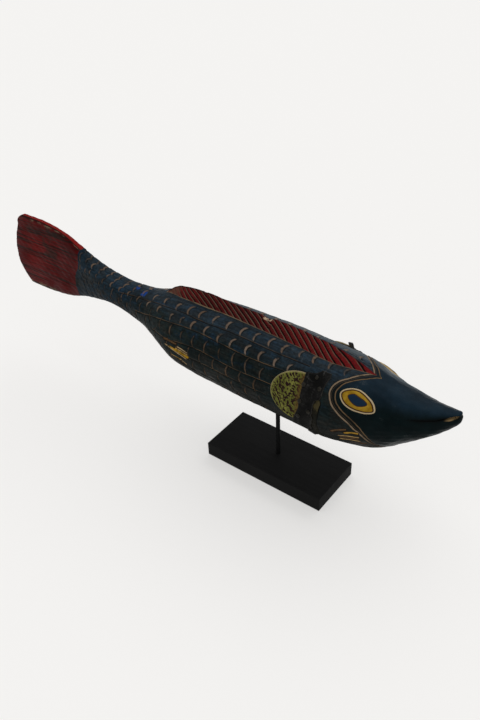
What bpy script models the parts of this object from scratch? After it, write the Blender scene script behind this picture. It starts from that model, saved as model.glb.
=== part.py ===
"""Carved wooden fish with a rasp crest, held on a rod over a block plinth.

Metres, +Z up. The origin is the centre of the plinth's underside, which rests on the table.
The fish lies along X with its head at +X. Its right side is -Y and its left side is +Y.
"""

import math

import bmesh
import bpy
import numpy as np
from mathutils import Matrix, Vector

MM = 0.001
GAP = 0.3 * MM  # clearance left between touching pieces

# Stand
PLINTH_LENGTH = 203 * MM
PLINTH_DEPTH = 89.8 * MM
PLINTH_TOP = 24.3 * MM
FELT_THICKNESS = 0.8 * MM
FELT_INSET = 1.5 * MM
ROD_RADIUS = 3.2 * MM
ROD_INSERTION = 44 * MM  # length of rod inside the fish
COUNTERBORE_RADIUS = 10 * MM
COUNTERBORE_DEPTH = 10 * MM
WASHER_RADIUS = 8 * MM
WASHER_THICKNESS = 1.2 * MM
NUT_ACROSS_FLATS = 11 * MM
NUT_HEIGHT = 5 * MM

# Fish: position along X, top, bottom and half width, in millimetres
PROFILE = [
    (-470, 285.2, 152.4, 5.8),
    (-447, 283.0, 155.0, 6.3),
    (-426, 280.3, 159.0, 7.0),
    (-406, 273.5, 164.0, 8.4),
    (-386, 263.4, 170.8, 10.6),
    (-365, 251.8, 176.1, 13.4),
    (-345, 242.1, 180.7, 16.3),
    (-325, 234.6, 183.9, 19.1),
    (-304, 230.4, 185.2, 21.8),
    (-284, 228.8, 183.2, 22.8),
    (-264, 229.3, 179.3, 25.0),
    (-244, 230.9, 173.8, 28.6),
    (-223, 234.0, 167.2, 33.4),
    (-203, 240.0, 159.6, 40.2),
    (-183, 245.4, 150.2, 47.6),
    (-162, 247.8, 140.6, 53.6),
    (-122, 249.2, 134.0, 57.6),
    (-81, 251.2, 132.3, 59.5),
    (-20, 251.6, 130.1, 60.7),
    (41, 250.2, 128.0, 61.1),
    (81, 247.9, 126.9, 60.5),
    (102, 246.9, 127.2, 59.8),
    (122, 245.4, 129.3, 58.0),
    (142, 241.6, 132.6, 54.5),
    (162, 235.6, 137.4, 49.1),
    (183, 231.1, 147.2, 42.0),
    (203, 229.2, 161.4, 33.9),
    (223, 228.7, 177.2, 25.8),
    (244, 229.9, 195.6, 17.1),
    (258, 231.8, 210.5, 10.7),
    (264, 233.2, 218.0, 7.4),
]
SQUARENESS = [(-470, 5.0), (-380, 3.4), (-300, 2.3), (-240, 2.0), (264, 2.0)]
NOSE_X = 264
TAIL_FAN_START = -440  # forward of this the carved sections stand upright
TAIL_END_X = -531
TAIL_REAR_EDGE = [(152, -530), (194, -551), (227, -547), (262, -533), (281, -521), (286, -512)]
BODY_STATION_STEP = 12.0
BODY_SIDES = 32

# Crest: ridge line (X, Z) and base half width (X, Y), in millimetres
RIDGE = [
    (-197, 243),
    (-173, 259),
    (-151, 264.3),
    (-125, 266.5),
    (-54, 264.0),
    (39, 263.9),
    (87, 258.0),
    (108, 254.2),
    (136, 244.8),
    (150, 238.5),
]
CREST_HALF_WIDTH = [
    (-197, 1.5),
    (-165, 7.5),
    (-127, 9.0),
    (-80, 10.8),
    (-4, 14.0),
    (47, 15.6),
    (109, 15.0),
    (135, 8.0),
    (150, 1.0),
]
CREST_START, CREST_END = -197, 150
GROOVES = 27
GROOVE_SLANT = 33.0  # how far forward of its top a groove's foot lies
GROOVE_DEPTH = 1.5
GROOVE_HALF_SHARE = 0.16  # half a groove's width as a share of the pitch
CREST_ROOT = 5.0  # how deep the crest's own solid reaches into the trunk

# Mouth
MOUTH_Z = 226.3
MOUTH_BACK_X = 247
MOUTH_HALF_OPENING = 1.1

# Rubber band, side fins and tacks, in millimetres and degrees
BAND_REAR_X, BAND_FRONT_X = 85.0, 104.5
BAND_THICKNESS = 1.8
BAND_TOP_ANGLE = {"right": 58, "left": 43}
BAND_STEPS = 54
FIN_ANGLE = {"right": 16.0, "left": 1.0}  # how far the middle of a fin lies above the trunk's side
FIN_RADIUS = 80.0  # the plate is bent a little less than the trunk
FIN_HALF_HEIGHT = 35.0
FIN_REAR_X, FIN_WIDEST_X, FIN_ROOT_X = 32.0, 78.0, 83.0
FIN_ROUNDNESS = 2.0
FIN_REAR_THICKNESS, FIN_MID_THICKNESS, FIN_ROOT_THICKNESS = 2.4, 4.6, 2.6
FIN_STANDOFF = 0.6
FLAP_REAR_X, FLAP_FRONT_X = 74.0, 83.8
FLAP_THICKNESS = 1.6
FLAP_HALF_HEIGHT = 36.0
HINGE_X = 84.2
HINGE_HEIGHT = 4.0
TACK_HEAD_RADIUS, TACK_HEAD_HEIGHT = 3.2, 1.5
TACK_SHANK_RADIUS = 0.7
TACK_HOLE_RADIUS = 1.0
TACK_SIDES = 10
BAND_TACK_SHANK = 9.0
FIN_TACK_SHANK = 3.6
BAND_TACKS = [(89, 33), (98.5, 22), (91, -10), (90, -44)]  # X and angle above the fin's middle
FIN_TACKS = [(79.2, 21), (79.2, 0), (79.2, -21)]  # X and height on the fin
SIDES = {"right": -1, "left": 1}  # sign of Y


def clear_scene():
    for old in list(bpy.data.objects):
        bpy.data.objects.remove(old)


def material(name, colour, roughness, metallic=0.0):
    made = bpy.data.materials.new(name)
    made.use_nodes = True
    shader = made.node_tree.nodes["Principled BSDF"]
    shader.inputs["Base Color"].default_value = (*colour, 1)
    shader.inputs["Roughness"].default_value = roughness
    shader.inputs["Metallic"].default_value = metallic
    return made


def smooth(x, table, column=1):
    """A smooth curve through a table's points, read at x."""
    xs = np.array([row[0] for row in table], float)
    ys = np.array([row[column] for row in table], float)
    step = np.diff(xs)
    slope = np.diff(ys) / step
    tangent = np.concatenate([slope[:1], slope[:-1], slope[-1:]])
    tangent[1:-1] = (slope[:-1] * step[1:] + slope[1:] * step[:-1]) / (step[:-1] + step[1:])
    x = min(max(x, xs[0]), xs[-1])
    i = min(max(int(np.searchsorted(xs, x)) - 1, 0), len(xs) - 2)
    t = (x - xs[i]) / step[i]
    return float(
        (2 * t**3 - 3 * t**2 + 1) * ys[i]
        + (t**3 - 2 * t**2 + t) * step[i] * tangent[i]
        + (3 * t**2 - 2 * t**3) * ys[i + 1]
        + (t**3 - t**2) * step[i] * tangent[i + 1]
    )


def mesh_object(name, points, faces, look, origin=(0, 0, 0)):
    """A new object from points in millimetres. Its faces are turned outward."""
    mesh = bpy.data.meshes.new(name)
    made = bmesh.new()
    corners = [made.verts.new(Vector(p) * MM - Vector(origin)) for p in points]
    for face in faces:
        made.faces.new([corners[i] for i in face])
    bmesh.ops.recalc_face_normals(made, faces=made.faces)
    made.to_mesh(mesh)
    made.free()
    mesh.shade_smooth()
    mesh.set_sharp_from_angle(angle=math.radians(35))
    mesh.materials.append(look)
    piece = bpy.data.objects.new(name, mesh)
    piece.location = origin
    bpy.context.scene.collection.objects.link(piece)
    return piece


def strip_cap(first, sides):
    """Faces that close a ring whose points i and -i face each other across Y."""
    half = sides // 2
    faces = []
    for i in range(half):
        corners = [i, i + 1, (sides - i - 1) % sides, (sides - i) % sides]
        faces.append([first + c for c in dict.fromkeys(corners)])
    return faces


def loft(name, rings, look):
    """A closed solid through rings of points, which start at the top and mirror across Y."""
    sides = len(rings[0])
    points = [p for ring in rings for p in ring]
    faces = strip_cap(0, sides) + strip_cap((len(rings) - 1) * sides, sides)
    for r in range(len(rings) - 1):
        for i in range(sides):
            j = (i + 1) % sides
            a, b = r * sides, (r + 1) * sides
            faces.append([a + i, a + j, b + j, b + i])
    return mesh_object(name, points, faces, look)


def slab(name, lower, upper, look, origin=(0, 0, 0)):
    """A closed solid between two grids of points, given as rows of equal length."""
    rows, columns = len(lower), len(lower[0])
    points = [p for row in lower for p in row] + [p for row in upper for p in row]
    above = rows * columns
    faces = []
    for r in range(rows - 1):
        for c in range(columns - 1):
            i = r * columns + c
            quad = [i, i + 1, i + columns + 1, i + columns]
            faces.append(quad)
            faces.append([above + k for k in quad])
    rim = [c for c in range(columns)]
    rim += [r * columns + columns - 1 for r in range(1, rows)]
    rim += [(rows - 1) * columns + c for c in range(columns - 2, -1, -1)]
    rim += [r * columns for r in range(rows - 2, 0, -1)]
    for i, j in zip(rim, rim[1:] + rim[:1], strict=True):
        faces.append([i, j, above + j, above + i])
    return mesh_object(name, points, faces, look, origin)


def turned(name, profile, sides, look, turn=0.0):
    """A solid turned about Z from (radius, height) points, both ends on the axis."""
    points = [(0, 0, profile[0][1]), (0, 0, profile[-1][1])]
    inner = profile[1:-1]
    for radius, height in inner:
        for k in range(sides):
            a = 2 * math.pi * k / sides + turn
            points.append((radius * math.cos(a), radius * math.sin(a), height))
    faces = []
    for k in range(sides):
        j = (k + 1) % sides
        last = 2 + (len(inner) - 1) * sides
        faces.append([0, 2 + j, 2 + k])
        faces.append([1, last + k, last + j])
        for r in range(len(inner) - 1):
            a, b = 2 + r * sides, 2 + (r + 1) * sides
            faces.append([a + k, a + j, b + j, b + k])
    return mesh_object(name, points, faces, look)


def rod_shape(name, radius, low, high, look, sides=24, chamfer=0.0, turn=0.0):
    """An upright round or many-sided bar, in millimetres."""
    profile = [(0, low), (radius - chamfer, low)]
    if chamfer:
        profile += [(radius, low + chamfer), (radius, high - chamfer)]
    profile += [(radius - chamfer, high), (0, high)]
    return turned(name, profile, sides, look, turn)


def tube_shape(name, profile, sides, look):
    """A ring-shaped solid turned about Z from a closed outline of (radius, height)."""
    points = []
    for radius, height in profile:
        for k in range(sides):
            a = 2 * math.pi * k / sides
            points.append((radius * math.cos(a), radius * math.sin(a), height))
    faces = []
    for r in range(len(profile)):
        a, b = r * sides, (r + 1) % len(profile) * sides
        for k in range(sides):
            j = (k + 1) % sides
            faces.append([a + k, a + j, b + j, b + k])
    return mesh_object(name, points, faces, look)


def box_shape(name, low, high, look):
    lower = [[(x, y, low[2]) for x in (low[0], high[0])] for y in (low[1], high[1])]
    upper = [[(x, y, high[2]) for x in (low[0], high[0])] for y in (low[1], high[1])]
    return slab(name, lower, upper, look)


def combine(target, other, operation):
    """An exact Boolean of other into target. The other object stays as a guide."""
    step = target.modifiers.new(operation.lower(), "BOOLEAN")
    step.operation = operation
    step.solver = "EXACT"
    step.object = other
    other.hide_render = True
    other.display_type = "WIRE"


# Fish body


def section(x):
    """Centre height, half height, half width and squareness of the carved section at x."""
    top, bottom, half = (smooth(x, PROFILE, c) for c in (1, 2, 3))
    power = np.interp(x, [s[0] for s in SQUARENESS], [s[1] for s in SQUARENESS])
    return (top + bottom) / 2, (top - bottom) / 2, half, float(power)


def fan_x(x, z):
    """Where a section point lies along X: the sections bow rearward towards the tail's edge."""
    share = (TAIL_FAN_START - x) / (TAIL_FAN_START - TAIL_END_X)
    if share <= 0:
        return x
    return x + share**2 * (smooth(z, TAIL_REAR_EDGE) - TAIL_END_X)


def body_ring(x, shrink=0.0, thin=1.0):
    """The ring of points of one section. shrink pulls in its height, thin scales its width."""
    centre, half_height, half_width, power = section(x)
    ring = []
    for k in range(BODY_SIDES):
        a = 2 * math.pi * k / BODY_SIDES
        s, c = math.sin(a), math.cos(a)
        y = half_width * thin * math.copysign(abs(s) ** (2 / power), s)
        z = centre + (half_height - shrink) * math.copysign(abs(c) ** (2 / power), c)
        ring.append((fan_x(x, z), y, z))
    return ring


def body_rings():
    count = round((NOSE_X - 3 - TAIL_END_X - 2) / BODY_STATION_STEP)
    stations = np.linspace(TAIL_END_X + 2, NOSE_X - 3, count)
    rings = [body_ring(TAIL_END_X, 1.2, 0.5)]
    rings += [body_ring(float(x)) for x in stations]
    rings += [body_ring(NOSE_X - 1), body_ring(NOSE_X, 1.5, 0.8)]
    return rings


def crest_ring(share, depth):
    """One slanted section of the crest, its flanks cut back by depth."""
    ends = min(1.0, share / 0.14, (1 - share) / 0.16)
    foot_x = CREST_START + share * (CREST_END - CREST_START)
    ridge_x = foot_x - GROOVE_SLANT * ends
    ridge_z = smooth(ridge_x, RIDGE) - 0.3 * depth
    half = smooth(foot_x, CREST_HALF_WIDTH) - 0.35 * depth
    foot_z = trunk_height(foot_x, half)
    flat = min(0.8, 0.5 * half)
    middle = (0.55 * half + 0.45 * flat) - 0.8 * depth * min(1, half / 4)
    middle_x, middle_z = (foot_x + ridge_x) / 2, (foot_z + ridge_z) / 2
    right = [
        (ridge_x, -flat, ridge_z),
        (middle_x, -middle, middle_z),
        (foot_x, -half, foot_z - 0.3),
        (foot_x, -half, foot_z - CREST_ROOT),
    ]
    left = [(x, -y, z) for x, y, z in right]
    return [(ridge_x, 0, ridge_z + 0.3)] + left + [(foot_x, 0, foot_z - CREST_ROOT)] + right[::-1]


def trunk_height(x, y):
    """Height of the trunk's upper surface at (x, y)."""
    centre, half_height, half_width, power = section(x)
    share = min(abs(y) / half_width, 1.0)
    return centre + half_height * (1 - share**power) ** (1 / power)


def make_crest(look):
    pitch = 1 / (GROOVES + 1)
    rings = [crest_ring(0.0, 0)]
    for g in range(GROOVES):
        middle = (g + 1) * pitch
        side = GROOVE_HALF_SHARE * pitch
        rings += [crest_ring(middle - side, 0), crest_ring(middle, GROOVE_DEPTH)]
        rings.append(crest_ring(middle + side, 0))
    rings.append(crest_ring(1.0, 0))
    return loft("crest_shape", rings, look)


def make_mouth_cutter(look):
    """A wedge, open at the nose, that parts the lips."""
    back, front, reach = MOUTH_BACK_X, NOSE_X + 8, 30
    wide = MOUTH_HALF_OPENING * (front - back) / (NOSE_X - back)
    lower = [[(back, y, MOUTH_Z - 0.15), (front, y, MOUTH_Z - wide)] for y in (-reach, reach)]
    upper = [[(back, y, MOUTH_Z + 0.15), (front, y, MOUTH_Z + wide)] for y in (-reach, reach)]
    return slab("mouth_cutter", lower, upper, look)


def make_fish(looks):
    body = loft("fish_body", body_rings(), looks["wood"])
    combine(body, make_crest(looks["wood"]), "UNION")
    combine(body, make_mouth_cutter(looks["wood"]), "DIFFERENCE")
    gap = GAP / MM
    rod_top = belly_z() + ROD_INSERTION / MM
    sleeve_out, sleeve_in = 4.8, ROD_RADIUS / MM + gap
    sleeve_top = rod_top + gap + 1.2
    bore = rod_shape("bore_cutter", sleeve_out + gap, belly_z() - 10, sleeve_top + gap, looks["wood"])
    combine(body, bore, "DIFFERENCE")
    low = belly_z() + 0.6
    cup = [(0, sleeve_top), (sleeve_out, sleeve_top), (sleeve_out, low), (sleeve_in, low)]
    cup += [(sleeve_in, rod_top + gap), (0, rod_top + gap)]
    turned("rod_sleeve", cup, 24, looks["brass"])
    return body


def belly_z():
    """Height of the belly where the rod enters."""
    return smooth(0, PROFILE, 2)


# Band, fins and tacks


def trunk_point(x, angle, side, height):
    """A point height above the trunk's round surface, angle degrees above its side."""
    centre, _, radius, _ = section(x)
    a = math.radians(angle)
    return (x, side * (radius + height) * math.cos(a), centre + (radius + height) * math.sin(a))


def fin_axes(side):
    """Outward normal and upward tangent at the middle of a fin."""
    a = math.radians(FIN_ANGLE["right" if side < 0 else "left"])
    outward = Vector((0, side * math.cos(a), math.sin(a)))
    upward = Vector((0, -side * math.sin(a), math.cos(a)))
    return outward, upward


def fin_point(x, along, side, height):
    """A point on the fin's bent plate: along is its arc height, height its distance outward."""
    outward, upward = fin_axes(side)
    centre, _, radius, _ = section(FIN_REAR_X)
    a = along / FIN_RADIUS
    middle = Vector((0, 0, centre)) + outward * (radius + FIN_STANDOFF - FIN_RADIUS)
    out = FIN_RADIUS + height
    return tuple(middle + Vector((x, 0, 0)) + out * (math.cos(a) * outward + math.sin(a) * upward))


def fin_thickness(x):
    table = [
        (FIN_REAR_X, FIN_REAR_THICKNESS),
        ((FIN_REAR_X + FIN_WIDEST_X) / 2, FIN_MID_THICKNESS),
        (FIN_WIDEST_X, FIN_ROOT_THICKNESS + 0.4),
        (FIN_ROOT_X, FIN_ROOT_THICKNESS),
    ]
    return smooth(x, table)


def fin_rear_edge(along):
    share = min(abs(along) / FIN_HALF_HEIGHT, 1.0)
    bulge = (1 - share**FIN_ROUNDNESS) ** (1 / FIN_ROUNDNESS)
    return FIN_WIDEST_X - (FIN_WIDEST_X - FIN_REAR_X) * bulge


def hinge_point(side):
    return Vector(fin_point(HINGE_X, 0, side, HINGE_HEIGHT)) * MM


def make_fin(name, side, look, hinge):
    rows, columns = 22, 8
    lower, upper = [], []
    for r in range(rows + 1):
        along = -FIN_HALF_HEIGHT * math.cos(math.pi * r / rows)
        rear = fin_rear_edge(along)
        xs = [rear + (FIN_ROOT_X - rear) * c / columns for c in range(columns + 1)]
        lower.append([fin_point(x, along, side, 0) for x in xs])
        upper.append([fin_point(x, along, side, fin_thickness(x)) for x in xs])
    return slab(name, lower, upper, look, hinge)


def flap_height(x):
    """Underside of the rubber over the fin's root."""
    return fin_thickness(min(x, FIN_ROOT_X)) + GAP / MM


def make_flap(name, side, look, hinge):
    rows, columns = 18, 3
    lower, upper = [], []
    for r in range(rows + 1):
        along = FLAP_HALF_HEIGHT * (2 * r / rows - 1)
        xs = [FLAP_REAR_X + (FLAP_FRONT_X - FLAP_REAR_X) * c / columns for c in range(columns + 1)]
        lower.append([fin_point(x, along, side, flap_height(x)) for x in xs])
        upper.append([fin_point(x, along, side, flap_height(x) + FLAP_THICKNESS) for x in xs])
    return slab(name, lower, upper, look, hinge)


def make_band(look):
    lower, upper = [], []
    sweep = 180 + BAND_TOP_ANGLE["right"] + BAND_TOP_ANGLE["left"]
    for k in range(BAND_STEPS + 1):
        around = BAND_TOP_ANGLE["right"] - sweep * k / BAND_STEPS  # runs down, under and up the far side
        xs = [BAND_REAR_X + (BAND_FRONT_X - BAND_REAR_X) * c / 2 for c in range(3)]
        lower.append([trunk_point(x, around, -1, GAP / MM) for x in xs])
        upper.append([trunk_point(x, around, -1, GAP / MM + BAND_THICKNESS) for x in xs])
    return slab("belly_band", lower, upper, look)


def tack_profile(shank):
    """A domed head over a thin pointed shank. The head's underside is at height 0."""
    r, h = TACK_HEAD_RADIUS, TACK_HEAD_HEIGHT
    return [
        (0, h),
        (0.55 * r, 0.85 * h),
        (0.9 * r, 0.4 * h),
        (r, 0),
        (TACK_SHANK_RADIUS, 0),
        (TACK_SHANK_RADIUS, 1.2 - shank),
        (0, -shank),
    ]


def facing(outward):
    """A rotation that turns +Z to outward."""
    return Vector((0, 0, 1)).rotation_difference(Vector(outward)).to_matrix().to_4x4()


def place(piece, point, outward, parent=None):
    """Puts a piece at a point in metres with its +Z outward, under an unrotated parent."""
    shift = parent.location if parent else Vector((0, 0, 0))
    piece.matrix_local = Matrix.Translation(Vector(point) - shift) @ facing(outward)
    piece.parent = parent


def radial(angle, side):
    a = math.radians(angle)
    return Vector((0, side * math.cos(a), math.sin(a)))


def tack_holes(name, spots, depth, looks):
    """One cutter made of a short pin at each spot, given as (point in metres, outward)."""
    points, faces = [], []
    for point, outward in spots:
        turn = facing(outward)
        first = len(points)
        for z in (-depth, 2.5):
            for k in range(TACK_SIDES):
                a = 2 * math.pi * k / TACK_SIDES
                local = Vector((math.cos(a) * TACK_HOLE_RADIUS, math.sin(a) * TACK_HOLE_RADIUS, z))
                points.append(tuple(Vector(point) / MM + turn @ local))
        low = list(range(first, first + TACK_SIDES))
        high = [i + TACK_SIDES for i in low]
        faces += [low[::-1], high]
        for k in range(TACK_SIDES):
            j = (k + 1) % TACK_SIDES
            faces.append([low[k], low[j], high[j], high[k]])
    return mesh_object(name, points, faces, looks["wood"])


def make_side(word, side, body, band, looks):
    """The fin, its rubber flap and all the tacks of one side of the fish."""
    hinge = bpy.data.objects.new(f"{word}_fin_hinge", None)
    hinge.location = hinge_point(side)
    bpy.context.scene.collection.objects.link(hinge)
    fin = make_fin(f"{word}_fin", side, looks["fin"], hinge.location)
    flap = make_flap(f"{word}_flap", side, looks["rubber"], hinge.location)
    for piece in (fin, flap):
        piece.location = (0, 0, 0)
        piece.parent = hinge

    outward, upward = fin_axes(side)
    spots = []
    for number, (x, along) in enumerate(FIN_TACKS, 1):
        seat = flap_height(x - TACK_HEAD_RADIUS / 2) + FLAP_THICKNESS + GAP / MM
        a = along / FIN_RADIUS
        normal = math.cos(a) * outward + math.sin(a) * upward
        point = Vector(fin_point(x, along, side, seat)) * MM
        spots.append((point, normal))
        name = f"fin_tack_{word}_{number}"
        tack = turned(name, tack_profile(FIN_TACK_SHANK), TACK_SIDES, looks["brass"])
        place(tack, point, normal, hinge)
    holes = tack_holes(f"fin_tack_holes_{word}", spots, FIN_TACK_SHANK + 0.3, looks)
    combine(flap, holes, "DIFFERENCE")
    combine(fin, holes, "DIFFERENCE")

    spots = []
    for number, (x, above) in enumerate(BAND_TACKS, 1):
        angle = FIN_ANGLE[word] + above
        seat = 2 * GAP / MM + BAND_THICKNESS
        point = Vector(trunk_point(x, angle, side, seat)) * MM
        normal = radial(angle, side)
        spots.append((point, normal))
        name = f"band_tack_{word}_{number}"
        tack = turned(name, tack_profile(BAND_TACK_SHANK), TACK_SIDES, looks["brass"])
        place(tack, point, normal)
    holes = tack_holes(f"band_tack_holes_{word}", spots, BAND_TACK_SHANK + 0.3, looks)
    combine(band, holes, "DIFFERENCE")
    combine(body, holes, "DIFFERENCE")


# Stand


def make_stand(looks):
    gap = GAP / MM
    half_x, half_y = PLINTH_LENGTH / MM / 2, PLINTH_DEPTH / MM / 2
    inset, felt = FELT_INSET / MM, FELT_THICKNESS / MM
    low = felt + gap
    plinth = box_shape("plinth", (-half_x, -half_y, low), (half_x, half_y, PLINTH_TOP / MM), looks["black"])
    edge = plinth.modifiers.new("edge", "BEVEL")
    edge.width = 0.4 * MM
    edge.segments = 1
    rod_radius = ROD_RADIUS / MM
    ceiling = low + COUNTERBORE_DEPTH / MM
    hole = rod_shape("rod_hole_cutter", rod_radius + gap, 0, PLINTH_TOP / MM + 5, looks["black"])
    recess = rod_shape("recess_cutter", COUNTERBORE_RADIUS / MM, -5, ceiling, looks["black"])
    combine(plinth, hole, "DIFFERENCE")
    combine(plinth, recess, "DIFFERENCE")
    felt_x, felt_y = half_x - inset, half_y - inset
    box_shape("base_felt", (-felt_x, -felt_y, 0), (felt_x, felt_y, felt), looks["felt"])

    rod_low = low + 1
    rod_top = belly_z() + ROD_INSERTION / MM
    rod_shape("mount_rod", rod_radius, rod_low, rod_top, looks["steel"], chamfer=0.5)
    washer_top = ceiling - gap
    washer_low = washer_top - WASHER_THICKNESS / MM
    nut_top = washer_low - gap
    nut_low = nut_top - NUT_HEIGHT / MM
    inner, outer = rod_radius + gap, WASHER_RADIUS / MM
    ring = [(inner, washer_low), (outer, washer_low), (outer, washer_top), (inner, washer_top)]
    tube_shape("rod_washer", ring, 24, looks["steel"])
    corner = NUT_ACROSS_FLATS / MM / 2 / math.cos(math.pi / 6)
    nut = rod_shape("rod_nut", corner, nut_low, nut_top, looks["steel"], sides=6)
    thread = rod_shape("nut_hole_cutter", inner, nut_low - 5, nut_top + 5, looks["steel"])
    combine(nut, thread, "DIFFERENCE")


def main():
    clear_scene()
    looks = {
        "black": material("black_paint", (0.012, 0.012, 0.013), 0.45),
        "felt": material("black_felt", (0.01, 0.01, 0.01), 0.95),
        "steel": material("black_steel", (0.015, 0.015, 0.015), 0.4, 0.6),
        "wood": material("painted_wood", (0.012, 0.022, 0.035), 0.5),
        "fin": material("fin_paint", (0.09, 0.1, 0.03), 0.6),
        "rubber": material("black_rubber", (0.01, 0.01, 0.01), 0.55),
        "brass": material("dull_brass", (0.2, 0.16, 0.08), 0.4, 0.8),
    }
    make_stand(looks)
    body = make_fish(looks)
    band = make_band(looks["rubber"])
    for word, side in SIDES.items():
        make_side(word, side, body, band, looks)


main()
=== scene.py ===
import math

import bpy
import numpy as np
from mathutils import Matrix, Vector


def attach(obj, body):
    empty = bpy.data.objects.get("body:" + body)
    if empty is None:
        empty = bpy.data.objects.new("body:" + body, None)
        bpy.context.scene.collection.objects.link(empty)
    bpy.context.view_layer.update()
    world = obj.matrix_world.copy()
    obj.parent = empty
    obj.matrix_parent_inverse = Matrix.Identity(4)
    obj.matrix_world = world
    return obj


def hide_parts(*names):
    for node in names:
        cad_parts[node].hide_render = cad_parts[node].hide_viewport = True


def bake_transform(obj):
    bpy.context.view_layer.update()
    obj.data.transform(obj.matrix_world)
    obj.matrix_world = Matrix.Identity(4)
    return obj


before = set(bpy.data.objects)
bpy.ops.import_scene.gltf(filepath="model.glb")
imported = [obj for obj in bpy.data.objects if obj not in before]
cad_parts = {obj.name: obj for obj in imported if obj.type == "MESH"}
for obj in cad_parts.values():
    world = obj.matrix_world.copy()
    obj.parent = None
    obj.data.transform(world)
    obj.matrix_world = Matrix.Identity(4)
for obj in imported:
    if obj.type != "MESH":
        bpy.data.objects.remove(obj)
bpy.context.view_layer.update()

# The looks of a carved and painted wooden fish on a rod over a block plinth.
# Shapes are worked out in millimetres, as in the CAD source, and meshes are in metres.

MM = 0.001

# Fish: position along X, top, bottom and half width
PROFILE = [
    (-470, 285.2, 152.4, 5.8), (-447, 283.0, 155.0, 6.3), (-426, 280.3, 159.0, 7.0),
    (-406, 273.5, 164.0, 8.4), (-386, 263.4, 170.8, 10.6), (-365, 251.8, 176.1, 13.4),
    (-345, 242.1, 180.7, 16.3), (-325, 234.6, 183.9, 19.1), (-304, 230.4, 185.2, 21.8),
    (-284, 228.8, 183.2, 22.8), (-264, 229.3, 179.3, 25.0), (-244, 230.9, 173.8, 28.6),
    (-223, 234.0, 167.2, 33.4), (-203, 240.0, 159.6, 40.2), (-183, 245.4, 150.2, 47.6),
    (-162, 247.8, 140.6, 53.6), (-122, 249.2, 134.0, 57.6), (-81, 251.2, 132.3, 59.5),
    (-20, 251.6, 130.1, 60.7), (41, 250.2, 128.0, 61.1), (81, 247.9, 126.9, 60.5),
    (102, 246.9, 127.2, 59.8), (122, 245.4, 129.3, 58.0), (142, 241.6, 132.6, 54.5),
    (162, 235.6, 137.4, 49.1), (183, 231.1, 147.2, 42.0), (203, 229.2, 161.4, 33.9),
    (223, 228.7, 177.2, 25.8), (244, 229.9, 195.6, 17.1), (258, 231.8, 210.5, 10.7),
    (264, 233.2, 218.0, 7.4),
]
SQUARENESS = [(-470, 5.0), (-380, 3.4), (-300, 2.3), (-240, 2.0), (264, 2.0)]
NOSE_X = 264
TAIL_FAN_START = -440
TAIL_END_X = -531
TAIL_REAR_EDGE = [(152, -530), (194, -551), (227, -547), (262, -533), (281, -521), (286, -512)]
RIDGE = [
    (-197, 243), (-173, 259), (-151, 264.3), (-125, 266.5), (-54, 264.0),
    (39, 263.9), (87, 258.0), (108, 254.2), (136, 244.8), (150, 238.5),
]
CREST_HALF_WIDTH = [
    (-197, 1.5), (-165, 7.5), (-127, 9.0), (-80, 10.8), (-4, 14.0),
    (47, 15.6), (109, 15.0), (135, 8.0), (150, 1.0),
]
CREST_START, CREST_END = -197, 150
GROOVES = 27
GROOVE_SLANT = 33.0
RIDGE_CHIPS = [(-14, 9, 3.2), (-121, 4, 1.0), (63, 5, 1.2)]  # X, half length and depth
FAR_AWAY = 40.0  # stands for "nowhere near" in the distance fields

# Rounded cuts: field, distance from its zero line, half width, depth
CUTS = [
    ("line", 0, 1.0, 0.75), ("scale", -0.6, 1.0, 0.5), ("scale_in", -0.9, 1.0, 0.6), ("gill", 0, 0.9, 0.5),
    ("gill_in", 0, 0.8, 0.4), ("gill", 2.2, 1.0, 0.7), ("eye", 0, 0.7, 0.6), ("pupil", 0, 0.6, 0.3),
    ("eye", -3.4, 0.6, 0.4), ("crack", 0, 0.7, 1.2),
]
# The carving's relief is squeezed a little at the ends: axis, where it starts, share kept beyond it
SQUEEZES = [(0, -500, 0.95), (0, 240, 0.93), (2, 275, 0.93)]

# Skin mesh: spacing along X and the number of columns on each side
STATION_STEP = 1.0
CREST_COLUMNS = 22
FLANK_COLUMNS = 170
REAR_ROUNDING, NOSE_ROUNDING = 2.5, 4.5
CAP_SHARE = 0.02  # of the UV map, kept at each end for the cap

# Painted and carved lines, as X and angle in degrees above the side of the trunk
FLANK_LINES = [
    [(-281, 38), (-249, 50), (-214, 54), (-177, 56), (-140, 59), (-116, 57.5), (-50, 57.6), (26, 56.5), (72, 58)],
    [(-241, 10), (-201, 25), (-165, 35), (-141, 39), (-105, 41), (-65, 39), (-9, 37), (48, 40)],
    [(-190, 4), (-150, 12), (-107, 18), (-71, 17), (-39, 15), (30, 17)],
    [(-130, 1), (-76, 0), (-16, -1), (24, 0)],
    [(-150, -20), (-70, -22), (20, -22)],
    [(-150, -44), (-70, -46), (20, -46)],
]
LINE_PALENESS = [0.35, 0.8, 0.9, 0.8, 0.6, 0.5]
# Rows of scale marks: path of the row, X of the first and last mark, height, thickness, paleness
SCALE_ROWS = [
    ([(-372, 80), (-300, 84), (-229, 78), (-197, 70), (-174, 66), (-133, 70.5), (-60, 68.7), (30, 68), (82, 72)],
     -374.7, 122, 15.5, 3.8, 0.62),
    ([(-372, 52), (-300, 57), (-240, 52), (-155, 48.5), (-113, 51), (-87, 49), (53, 47)], -377, 54, 14.0, 3.8, 0.78),
    ([(-372, 24), (-300, 30), (-240, 30), (-139, 29), (27, 27)], -372, 28, 20.5, 2.5, 0.32),
    ([(-372, -4), (-300, 3), (-200, 6), (-84, 9), (24, 8)], -376, 24, 20.5, 2.5, 0.28),
    ([(-372, -32), (-300, -25), (-200, -16), (-84, -11), (24, -11)], -371, 24, 19.0, 2.3, 0.22),
    ([(-372, -58), (-200, -40), (-84, -33), (50, -33)], -368, 46, 15.0, 2.2, 0.16),
    ([(-300, -76), (-84, -60), (70, -60)], -300, 66, 15.0, 2.2, 0.12),
]
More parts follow.
